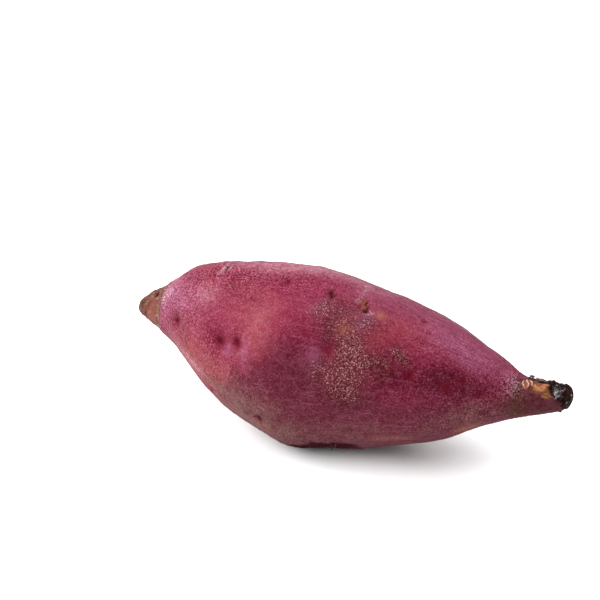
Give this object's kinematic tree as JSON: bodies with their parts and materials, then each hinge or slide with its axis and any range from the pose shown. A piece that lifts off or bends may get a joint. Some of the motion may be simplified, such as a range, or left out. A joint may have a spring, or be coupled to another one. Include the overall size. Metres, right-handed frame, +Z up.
{
  "type": "sweet potato",
  "caption": "Whole roasted sweet potato: a spindle-shaped root with shallow eyes, a pale stalk scar and a scorched tail, lying on its belly.",
  "frame": {"origin": "on the ground, below the middle of the root's bounding box", "axes": "+Z up, +X along the root from the stalk scar to the scorched tail, -Y towards the side that faces the picture's camera"},
  "size_m": [0.17, 0.0666, 0.065],
  "materials": {
    "skin": "satin purple-red root skin, finely grained and striped along its length, tan at the stalk end and burnt black at the tail"
  },
  "bodies": {
    "root": {"sweet_potato": "skin"}
  },
  "joints": []
}
